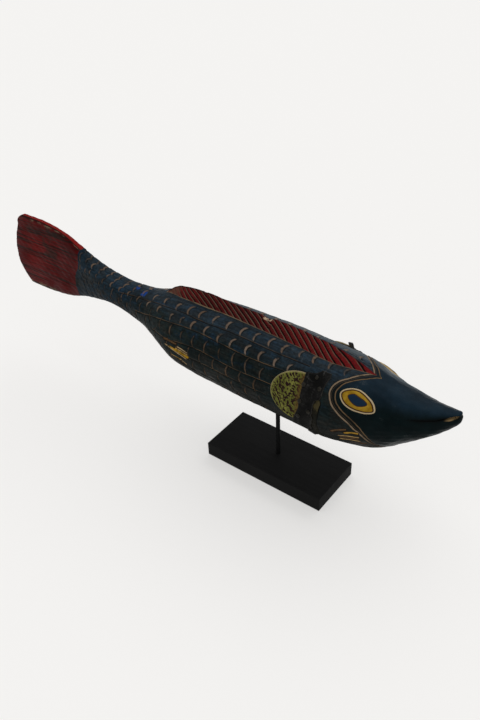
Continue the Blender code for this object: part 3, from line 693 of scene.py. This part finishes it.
def fish_paint():
    look = Look("fish_paint", specular=0.026)
    span, below, within, times = look.span, look.below, look.within, look.times
    noise, mix, field, wobbled = look.noise, look.mix, look.field, look.wobbled
    grain = noise(1.0, 4, look.stretched(24, 380, 380))
    blotch = noise(34, 4)
    cloud = noise(11, 3)
    speck = noise(520, 2)
    hand = noise(210, 3)
    fine = noise(900, 2)

    def by_hand(name, reach):
        return wobbled(field(name), hand, reach)

    place = look.node("ShaderNodeSeparateXYZ")
    look.feed(place.inputs[0], look.place)
    x, y = place.outputs[0], place.outputs[1]

    # Blue and green body colours, mottled by the chisel: darker towards the belly as painted shade, and lighter and
    # bluer up the flank, partly blue paint and partly painted light
    flank = wobbled(field("flank"), blotch, 40)
    gill_side = field("gill")
    coat = Coat(look, mix(span(flank, -38, 8), (0.0085, 0.009, 0.008), (0.0065, 0.0115, 0.0115)))
    coat.lay((0.0125, 0.021, 0.029), span(flank, 32, 62))
    coat.lay((0.0075, 0.0165, 0.025), below(wobbled(x, blotch, 0.03), -0.29, -0.205), 0.75)
    chisel = noise(1.0, 4, look.stretched(45, 95, 95), roughness=0.65)
    coat.lay((0.014, 0.0135, 0.0115), span(chisel, 0.46, 0.62), span(flank, -10, 60, 0.75, 0.45))
    coat.lay((0.009, 0.022, 0.04), span(chisel, 0.46, 0.36), span(flank, 0, 50), 0.6)
    head = times(span(gill_side, -1.0, 2.0), span(x, 0.1, 0.12))
    face = mix(span(flank, 32, 70), (0.0022, 0.006, 0.0067), (0.006, 0.0145, 0.023))
    coat.vary(cloud, 0.7, 1.3)
    coat.vary(grain, 0.7, 1.3)
    coat.vary(noise(260, 3), 0.72, 1.3)
    face = look.brightened(face, span(noise(38, 4), 0.3, 0.7, 0.72, 1.3))
    coat.lay(face, head, 0.93)
    # Painted reflection: the left side's upper flank is lightened as light caught at a grazing angle
    coat.lay((0.062, 0.077, 0.088), span(y, 0.011, 0.022), span(flank, 25, 50), 0.8)
    coat.lay((0.08, 0.085, 0.085), span(noise(75, 5), 0.62, 0.75), span(speck, 0.45, 0.6), 0.3)
    touches = [
        times(within(wobbled(x, hand, 0.006), middle, reach, 0.003), within(field("flank"), level, 9, 8))
        for middle, reach, level in ((-0.256, 0.0035, 86), (-0.236, 0.0045, 71))
    ]
    coat.lay((0.006, 0.045, 0.23), look.math("MAXIMUM", *touches), below(y, -0.001, 0.001), 0.85)

    # Carved lines along the flank
    line = by_hand("line", 1.1)
    cut = within(line, -0.1, 0.75, 0.8)
    coat.lay(NEAR_BLACK, cut, 0.85)
    shown = times(field("line_tone"), span(noise(42, 2), 0.38, 0.6, 0.2, 1.0))
    coat.lay((0.135, 0.085, 0.045), within(line, 0.85, 0.5, 0.8), shown, 0.9)

    # Scale marks: a pale or brown arc, with painted shade in the cut on its head side
    arc = by_hand("scale", 1.6)
    tone = field("scale_tone")
    worn = span(noise(150, 3), 0.28, 0.55)
    inner = field("scale_in")
    # Painted shade inside each mark's cut
    coat.lay((0.003, 0.0035, 0.0035), within(inner, 0.9, 1.2, 1.6), 0.7)
    paint = mix(tone, (0.075, 0.037, 0.014), (0.2, 0.15, 0.115))
    coat.lay(paint, below(arc, -1.2, 0.45), worn, span(tone, 0.0, 0.45, 0.6, 0.95))

    # Double gill line: a pale one behind, a browner one in front and dark strokes between them
    gill = by_hand("gill", 0.9)
    gill_in = by_hand("gill_in", 0.9)
    gap = look.math("MINIMUM", span(gill_side, -0.5, 0.5), below(field("gill_in"), -0.5, 0.5))
    coat.lay((0.006, 0.006, 0.005), gap, 0.6)
    coat.lay(NEAR_BLACK, within(gill, 0.0, 1.5, 0.8))
    patchy = times(span(noise(110, 2), 0.25, 0.5, 0.4, 1.0), span(flank, -30, 5, 0.25, 1.0))
    coat.lay((0.2, 0.145, 0.095), within(gill, 0.0, 0.95, 0.6), patchy)
    coat.lay((0.1, 0.07, 0.04), within(gill, 2.6, 0.25, 0.5), patchy, 0.6)
    coat.lay(NEAR_BLACK, within(gill_in, 0.0, 1.2, 0.8))
    coat.lay((0.13, 0.085, 0.045), within(gill_in, 0.0, 0.7, 0.6), patchy)

    # Yellow strokes with dark outlines
    stroke = by_hand("stroke", 0.8)
    coat.lay((0.012, 0.006, 0.003), span(stroke, 1.0, 1.8, 0.85, 0.0))
    yolk = mix(field("stroke_tone"), (0.36, 0.2, 0.015), (0.4, 0.29, 0.16))
    yolk = mix(below(field("stroke_tone"), -0.6, -0.2), yolk, (0.1, 0.055, 0.025))
    yolk = look.brightened(yolk, span(noise(130, 2), 0.3, 0.6, 0.35, 1.0))
    coat.lay(yolk, below(stroke, -0.3, 0.3))

    # Eye: pale outline, brown ring, yellow iris, dark blue pupil
    eye = by_hand("eye", 0.7)
    coat.lay((0.42, 0.33, 0.2), below(eye, -0.25, 0.25))
    coat.lay((0.04, 0.014, 0.006), below(eye, -1.9, -1.5))
    iris = mix(span(noise(90, 2), 0.35, 0.65), (0.21, 0.115, 0.006), (0.33, 0.2, 0.02))
    coat.lay(iris, below(eye, -3.4, -3.0))
    pupil = by_hand("pupil", 0.8)
    coat.lay((0.05, 0.018, 0.008), below(pupil, 0.5, 0.9))
    coat.lay((0.008, 0.02, 0.04), below(pupil, -0.4, 0.0))

    # Mouth: a crease that opens on bare wood at the tip, with painted shadow in the crease and a soft band of painted
    # shade around it
    mouth = field("mouth")
    # Painted shade in a soft band along the crease, then painted shadow in the crease itself
    coat.lay((0.0025, 0.003, 0.003), within(mouth, 0.0, 2.2, 5.0), span(x, 0.19, 0.225), 0.75)
    crease = times(within(mouth, 0.2, 0.9, 0.9), span(x, 0.204, 0.225))
    coat.lay(SLIT_SHADOW_BLACK, crease, 0.95)
    inside = times(within(mouth, -1.1, 1.0, 0.8), span(x, 0.246, 0.256))
    coat.lay((0.3, 0.2, 0.09), inside)

    # Torn place at the band: bare yellowish wood and a crack, with painted shadow in the crack
    crack = by_hand("crack", 1.6)
    splinters = span(noise(150, 3), 0.42, 0.62, 0.1, 1.0)
    bare = within(crack, -4.5, 4.0, 1.0)
    splinters = times(splinters, within(flank, 17, 9, 12))
    coat.lay((0.009, 0.008, 0.005), bare, 0.85)
    coat.lay((0.075, 0.06, 0.024), bare, splinters, 0.6)
    # Painted shadow in the crack
    coat.lay(SLIT_SHADOW_BLACK, within(crack, 0.4, 0.8, 0.6))

    # Red tail with dark lengthwise streaks and rubbed edges, and a painted sheen along its bottom edge
    tail = below(by_hand("tail", 2.2), -0.5, 0.3)
    red = Coat(look, mix(span(cloud, 0.35, 0.65), (0.052, 0.003, 0.003), (0.105, 0.0055, 0.005)))
    rim = field("rim")
    # Lighter red at the rear rim as rubbed paint, and along the bottom edge as a painted sheen
    rubbed_rim_and_sheen = look.math("MAXIMUM", span(rim, 3, 22, 0.8, 0.0), span(flank, -86, -74, 0.6, 0.0))
    red.lay((0.085, 0.02, 0.021), rubbed_rim_and_sheen, span(blotch, 0.3, 0.6, 0.5, 1.0))
    red.lay((0.028, 0.015, 0.012), span(noise(30, 3), 0.5, 0.62), span(rim, 8, 50), span(flank, 0, 60), 0.75)
    streak = noise(1.0, 3, look.stretched(3, 10, 120))
    red.lay((0.012, 0.007, 0.005), within(streak, 0.5, 0.032, 0.05), 0.9)
    red.lay((0.02, 0.007, 0.006), span(grain, 0.55, 0.75), 0.6)
    corner = by_hand("corner", 1.4)
    red.lay((0.17, 0.008, 0.006), below(corner, -1.0, 0.0))
    red.lay((0.012, 0.006, 0.005), within(corner, 0.5, 0.7, 0.8), 0.8)
    broken = times(within(corner, 1.4, 0.4, 0.8), span(noise(60, 2), 0.42, 0.58))
    red.lay((0.13, 0.095, 0.06), broken)
    coat.lay(red.colour, tail)

    # Red crest, its cut grooves and the pale border along its foot
    crest = by_hand("crest", 0.8)
    groove = by_hand("groove", 0.9)
    comb = Coat(look, mix(span(cloud, 0.35, 0.65), (0.055, 0.003, 0.004), (0.115, 0.0055, 0.0065)))
    comb.vary(speck, 0.75, 1.25)
    comb.lay((0.006, 0.0025, 0.0025), within(groove, 0.5, 0.9, 0.8))
    pale = times(within(groove, -0.95, 0.5, 0.7), span(noise(70, 2), 0.3, 0.5, 0.3, 1.0))
    comb.lay((0.1, 0.068, 0.045), pale)
    comb.lay((0.1, 0.045, 0.03), below(wobbled(x, hand, 0.014), -0.176, -0.158), 0.8)
    ridge = by_hand("ridge", 1.6)
    # Painted shadow along the ridge's top and far face, wider towards the rear
    ridge_painted_shadow = look.math("ADD", ridge, span(x, -0.15, -0.06, -1.6, 0.0))
    comb.lay((0.018, 0.005, 0.006), span(ridge_painted_shadow, 0.2, 1.1, 0.8, 0.0))
    chip = times(within(x, -0.014, 0.007, 0.004), below(field("ridge"), 2.0, 4.0))
    comb.lay((0.45, 0.33, 0.22), chip, span(hand, 0.4, 0.55))
    # Towards the head the red is kept to the right of the ridge
    red_side = look.math("SUBTRACT", 1.0, times(span(y, 0.0003, 0.0012), span(x, 0.045, 0.06)))
    coat.lay(comb.colour, span(crest, 0.0, 0.5), red_side)
    foot = times(within(crest, -0.9, 0.4, 0.8), red_side)
    coat.lay(NEAR_BLACK, foot, 0.6)
    broken = times(span(noise(48, 2), 0.34, 0.55, 0.3, 1.0), span(x, -0.09, -0.02, 1.0, 0.4))
    coat.lay((0.17, 0.12, 0.07), within(crest, 0.0, 0.6, 0.7), broken, red_side)

    roughness = span(blotch, 0.3, 0.7, 0.36, 0.6)
    gloss = look.math("SUBTRACT", roughness, times(head, span(x, 0.1, 0.13), 0.12))
    relief = look.math("ADD", times(grain, 0.7), times(fine, 0.35))
    return look.finish(coat.colour, gloss, relief, depth=0.00035, strength=0.8)


# Rubber, fins and the smaller pieces


def trunk_point(x, degrees, side, height):
    """Points a height above the trunk's round surface. x, degrees and height are arrays of one shape."""
    centre, _, radius, _ = section(x)
    a = np.radians(degrees)
    out = radius + height
    return np.stack([x, side * out * np.cos(a), centre + out * np.sin(a)], -1)


def fin_point(x, along, side, height):
    """Points on a fin's bent plate: along is the arc height, height the distance outward."""
    centre, _, radius, _ = section(np.array(FIN_REAR_X))
    lean = math.radians(FIN_ANGLE["right" if side < 0 else "left"])
    outward = np.array([0, side * math.cos(lean), math.sin(lean)])
    upward = np.array([0, -side * math.sin(lean), math.cos(lean)])
    a = along / FIN_RADIUS
    middle = np.array([0, 0, float(centre)]) + outward * (float(radius) + FIN_STANDOFF - FIN_RADIUS)
    out = (FIN_RADIUS + height)[..., None]
    turned = np.cos(a)[..., None] * outward + np.sin(a)[..., None] * upward
    return middle + x[..., None] * np.array([1, 0, 0]) + out * turned


def fin_rear_edge(along):
    share = np.clip(np.abs(along) / FIN_HALF_HEIGHT, 0, 1)
    return FIN_WIDEST_X - (FIN_WIDEST_X - FIN_REAR_X) * (1 - share**FIN_ROUNDNESS) ** (1 / FIN_ROUNDNESS)


def make_fin(word, side, material):
    """A D-shaped plate, thick in the middle and thin at a softly rounded rim."""
    rows, columns = 72, 44
    along = -FIN_HALF_HEIGHT * np.cos(math.pi * np.linspace(0.012, 0.988, rows))
    share = np.sin(0.5 * math.pi * np.linspace(0, 1, columns))
    rear = fin_rear_edge(along)
    x = FIN_ROOT_X + (rear - FIN_ROOT_X)[:, None] * share[None]
    v = np.broadcast_to((along * np.where(along * side > 0, FIN_WORN, 1))[:, None], x.shape)
    edge = np.linspace(-1, 1, 121) * FIN_HALF_HEIGHT
    outline = np.stack([fin_rear_edge(edge), edge * np.where(edge * side > 0, FIN_WORN, 1)], -1)
    outline = np.concatenate([[[FIN_ROOT_X, -FIN_HALF_HEIGHT]], outline, [[FIN_ROOT_X, FIN_HALF_HEIGHT]]])
    rim = np.abs(path_distance(x, v, outline))
    full = curve(x, FIN_THICKNESS)
    round_off = np.sqrt(np.clip(1 - (1 - np.clip(rim / 3.0, 0, 1)) ** 2, 0, 1))
    top = full * (0.42 + 0.58 * round_off)
    base = np.stack([x, v, np.zeros_like(x)], -1)
    top += 0.14 * undulation(base, 9, 21 + side) * np.clip(rim / 4, 0, 1)
    under = full * 0.1 * (1 - round_off)
    lower, upper = fin_point(x, v, side, under), fin_point(x, v, side, top)
    fields = on_both_faces(fin_x=x, fin_v=v, rim=rim)
    fields["face"] = np.concatenate([np.ones_like(x), np.zeros_like(x)], axis=1)
    piece = sheet_piece(f"{word}_fin_skin", lower, upper, fields, side < 0, material, f"fin_{word}")
    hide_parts(f"{word}_fin")
    return piece


def make_rubber(word, side, material):
    """The rubber of one side: from under the belly up over the fin's root, torn along its front edge."""
    rows, columns = 190, 46
    top_angle = RUBBER_TOP_ANGLE[word]
    degrees = np.linspace(-89.6, top_angle, rows)
    middle_x = 88.0
    radius = float(girth(np.array(middle_x)))
    along = np.radians(degrees - FIN_ANGLE[word]) * radius
    over_fin = 1 - step_up(np.abs(along), 35.5, 40)
    ragged = undulation(np.stack([degrees, degrees * 0, degrees * 0], -1), 9, 31 + side)
    fin_edge = 77.0 + 0.8 * np.cos(along / 13) - 6.0 * step_up(-along, 8, 36)
    rear = BAND_REAR_X + (fin_edge - BAND_REAR_X) * over_fin + 0.35 * ragged
    lowered = degrees + FIN_ANGLE["right"] - FIN_ANGLE[word]
    front = between(lowered, TORN_EDGE) + (0.5 + 0.7 * (lowered < 24)) * np.roll(ragged, 17)
    top = step_up(degrees, top_angle - 9, top_angle)
    rear = rear + 6 * top
    front = front - 2.5 * top**2
    share = np.linspace(0, 1, columns)[None]
    x = rear[:, None] + (front - rear)[:, None] * share
    angle = np.broadcast_to(degrees[:, None], x.shape)
    v = np.broadcast_to(along[:, None], x.shape)
    edge = np.minimum(np.minimum(x - rear[:, None], front[:, None] - x), (top_angle - angle) * radius / 57.3)
    lift = over_fin[:, None] * (1 - step_up(x, 82.8, 89.5))
    thin = RUBBER_THICKNESS * (0.45 + 0.55 * np.clip(edge / 2.2, 0, 1) ** 0.5)
    base = np.stack([x, v, 0 * x], -1)
    crumple = 0.3 * undulation(base * (1, 0.45, 1), 8, 41 + side) + 0.18 * undulation(base, 4.2, 44 + side)
    crumple = np.clip(crumple, -0.25, 0.9)
    fin_top = curve(np.minimum(x, FIN_ROOT_X), FIN_THICKNESS) + RUBBER_GAP
    sides = []
    for height in (0 * x, thin + crumple):
        on_trunk = trunk_point(x, angle, side, RUBBER_GAP + height)
        on_fin = fin_point(x, v, side, fin_top + height)
        sides.append(on_trunk + (on_fin - on_trunk) * lift[..., None])
    fields = on_both_faces(edge=edge, band_v=v, raised=crumple)
    piece = sheet_piece(f"{word}_rubber", *sides, fields, side > 0, material, None)
    hinge_z = section(np.array(HINGE_X))[0]
    hinge_y = side * section(np.array(HINGE_X))[2] * MM
    ends = ((HINGE_X + HINGE_BEND / 2) * MM, (HINGE_X - HINGE_BEND / 2) * MM)
    start, end = ((x_end, hinge_y, hinge_z * MM) for x_end in ends)
    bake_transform(piece)
    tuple(start)
    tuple(end)
    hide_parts(f"{word}_flap")
    return piece


def fin_paint():
    """Olive yellow, covered with short slanted maroon dashes, with a pale rim."""
    look = Look("fin_dashes", roughness=0.6, specular=0.015)
    span, below, times, noise = look.span, look.below, look.times, look.noise
    mix, field, wobbled = look.mix, look.field, look.wobbled
    plane = look.node("ShaderNodeCombineXYZ")
    look.feed(plane.inputs[0], field("fin_x"))
    look.feed(plane.inputs[1], field("fin_v"))
    turned = look.node("ShaderNodeVectorRotate", rotation_type="Z_AXIS")
    look.feed(turned.inputs["Vector"], plane.outputs[0])
    turned.inputs["Angle"].default_value = math.radians(38)
    long_way = look.stretched(0.2, 0.36, 1.0, turned.outputs[0])
    dashes = noise(1.0, 2, long_way, roughness=0.6, distortion=0.5)
    blotch = noise(70, 4)
    fine = noise(600, 3)
    ground = mix(span(blotch, 0.35, 0.65), (0.09, 0.095, 0.017), (0.18, 0.18, 0.04))
    ground = mix(span(fine, 0.35, 0.7, 0.0, 0.5), ground, (0.1, 0.1, 0.03))
    coat = Coat(look, mix(span(dashes, 0.49, 0.53), ground, (0.018, 0.007, 0.008)))
    near_flap = span(wobbled(field("fin_x"), blotch, 9), 68, 76, 0.0, 0.7)
    coat.lay((0.1, 0.055, 0.018), near_flap)
    rim = wobbled(field("rim"), fine, 0.8)
    coat.lay((0.2, 0.19, 0.06), span(rim, 2.2, 3.0, 0.55, 0.0))
    coat.lay((0.22, 0.18, 0.1), span(rim, 0.9, 1.4, 0.9, 0.0))
    back = below(field("face"), 0.4, 0.6)
    grain = noise(1.0, 4, look.stretched(60, 500, 90))
    wood = mix(grain, (0.05, 0.032, 0.018), (0.14, 0.095, 0.055))
    coat.lay(wood, back)
    relief = look.math("ADD", times(span(dashes, 0.5, 0.58), -0.6), times(fine, 0.3))
    return look.finish(coat.colour, span(blotch, 0.3, 0.7, 0.5, 0.72), relief, depth=0.0003)


def rubber_look():
    """Old black rubber with grey scuffs and worn edges; painted highlights lighten its raised folds and its upper end.
    """
    look = Look("worn_rubber_and_sheen", specular=0.04)
    span, times, noise, mix, field, wobbled = look.span, look.times, look.noise, look.mix, look.field, look.wobbled
    cloud = noise(60, 5)
    fine = noise(480, 4)
    scratches = noise(1.0, 3, look.stretched(260, 70, 60))
    coat = Coat(look, mix(span(cloud, 0.35, 0.7), (0.004, 0.004, 0.0038), (0.0085, 0.0083, 0.0078)))
    scuffed = times(span(cloud, 0.46, 0.66), span(fine, 0.42, 0.62))
    # Painted light: scuffs and folds are lighter towards the rubber's upper end, as lit from above
    upper = span(field("band_v"), 10, 40, 0.35, 1.0)
    coat.lay((0.045, 0.044, 0.042), scuffed, upper, 0.5)
    # Painted highlight on the raised folds of the crumpled rubber
    raised = span(field("raised"), 0.25, 0.7)
    coat.lay((0.075, 0.073, 0.07), raised, upper, span(fine, 0.35, 0.6), 0.6)
    edge = span(wobbled(field("edge"), fine, 1.2), 0.3, 1.0, 0.6, 0.0)
    coat.lay((0.035, 0.032, 0.028), edge)
    coat.lay((0.06, 0.058, 0.055), span(scratches, 0.66, 0.72), 0.4)
    relief = look.math("ADD", cloud, times(fine, 0.5))
    return look.finish(coat.colour, span(cloud, 0.3, 0.7, 0.42, 0.7), relief, depth=0.0006)


def brass_look():
    look = Look("dull_brass_heads", specular=0.1, metallic=0.15)
    tarnish = look.noise(900, 4)
    colour = look.mix(look.span(tarnish, 0.35, 0.6), (0.028, 0.024, 0.017), (0.009, 0.0085, 0.0075))
    return look.finish(colour, look.span(tarnish, 0.3, 0.7, 0.38, 0.65), tarnish, depth=0.0002)


def black_lacquer():
    """Satin black paint on wood: faint grain, a little dust, and edges lightened as a painted highlight."""
    look = Look("satin_black_lacquer", specular=0.01)
    grain = look.noise(1.0, 5, look.stretched(14, 260, 90))
    cloud = look.noise(22, 3)
    dust = look.noise(1100, 2)
    coat = Coat(look, look.mix(look.span(grain, 0.3, 0.7), (0.003, 0.003, 0.0031), (0.0052, 0.0052, 0.0053)))
    coat.lay((0.03, 0.03, 0.03), look.span(dust, 0.68, 0.76), 0.35)
    # Painted highlight along the edges
    edge = look.node("ShaderNodeNewGeometry").outputs["Pointiness"]
    coat.lay((0.03, 0.03, 0.03), look.span(edge, 0.53, 0.6, 0.0, 0.3))
    relief = look.math("ADD", look.times(grain, 0.8), look.times(look.noise(700, 2), 0.3))
    return look.finish(coat.colour, look.span(cloud, 0.3, 0.7, 0.42, 0.55), relief, depth=0.00012)


def rod_look():
    look = Look("satin_black_rod", specular=0.02)
    brushed = look.noise(1.0, 4, look.stretched(900, 900, 40))
    colour = look.mix(brushed, (0.006, 0.006, 0.0062), (0.011, 0.011, 0.0112))
    return look.finish(colour, look.span(brushed, 0.3, 0.7, 0.34, 0.5), brushed, depth=0.00008)


def felt_look():
    look = Look("black_felt", roughness=0.95, specular=0.1)
    fibre = look.noise(1800, 5, distortion=1.2)
    colour = look.mix(fibre, (0.006, 0.006, 0.006), (0.03, 0.03, 0.03))
    look.shader.inputs["Sheen Weight"].default_value = 0.3
    return look.finish(colour, None, fibre, depth=0.0005)


def dress_cad(names, material):
    for name in names:
        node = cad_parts[name]
        node.data.materials.clear()
        node.data.materials.append(material)


# Setting


def make_floor():
    mesh = bpy.data.meshes.new("floor")
    reach = 30.0
    corners = [(-reach, -reach, 0), (reach, -reach, 0), (reach, reach, 0), (-reach, reach, 0)]
    mesh.from_pydata(corners, [], [(0, 1, 2, 3)])
    look = Look("pale_floor", roughness=0.9, specular=0.0)
    look.finish(look.mix(look.noise(0.4, 2), (0.398, 0.393, 0.385), (0.402, 0.397, 0.389)))
    look.shader.inputs["Emission Color"].default_value = (1.0, 0.99, 0.975, 1)
    look.shader.inputs["Emission Strength"].default_value = FLOOR_GLOW
    floor = finish_piece("floor", mesh, look.material, None)


def make_studio():
    scene = bpy.context.scene
    world = bpy.data.worlds.new("studio")
    world.use_nodes = True
    world.node_tree.nodes["Background"].inputs["Color"].default_value = (1, 1, 1, 1)
    world.node_tree.nodes["Background"].inputs["Strength"].default_value = WORLD_STRENGTH
    scene.world = world
    sky = bpy.data.lights.new("overhead_softbox", "SUN")
    sky.energy = SUN_STRENGTH
    sky.angle = math.radians(SUN_ANGLE)
    lamp = bpy.data.objects.new("overhead_softbox", sky)
    lamp.rotation_euler = Vector(SUN_FROM).to_track_quat("Z", "Y").to_euler()
    scene.collection.objects.link(lamp)
    scene.view_settings.view_transform = "Standard"


def make_camera():
    camera = bpy.data.cameras.new("camera")
    camera.lens = CAMERA_LENS
    camera.sensor_width = 36
    made = bpy.data.objects.new("camera", camera)
    made.location = CAMERA_AT
    turn, tilt, roll = (math.radians(a) for a in (CAMERA_TURN, CAMERA_TILT, CAMERA_ROLL))
    aim = Matrix.Rotation(turn, 4, "Z") @ Matrix.Rotation(tilt, 4, "X") @ Matrix.Rotation(roll, 4, "Z")
    made.rotation_euler = aim.to_euler()
    bpy.context.scene.collection.objects.link(made)
    bpy.context.scene.camera = made


def main():
    make_camera()
    make_studio()
    make_floor()
    skin = make_fish_skin(fish_paint())
    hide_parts("fish_body")
    fin_material, rubber = fin_paint(), rubber_look()
    pieces = [(make_fin(word, side, fin_material), make_rubber(word, side, rubber)) for word, side in SIDES.items()]
    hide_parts("belly_band")
    nodes = list(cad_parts)
    dress_cad([n for n in nodes if "_tack_" in n] + ["rod_sleeve"], brass_look())
    dress_cad(["plinth"], black_lacquer())
    dress_cad(["mount_rod", "rod_washer", "rod_nut"], rod_look())
    dress_cad(["base_felt"], felt_look())


main()
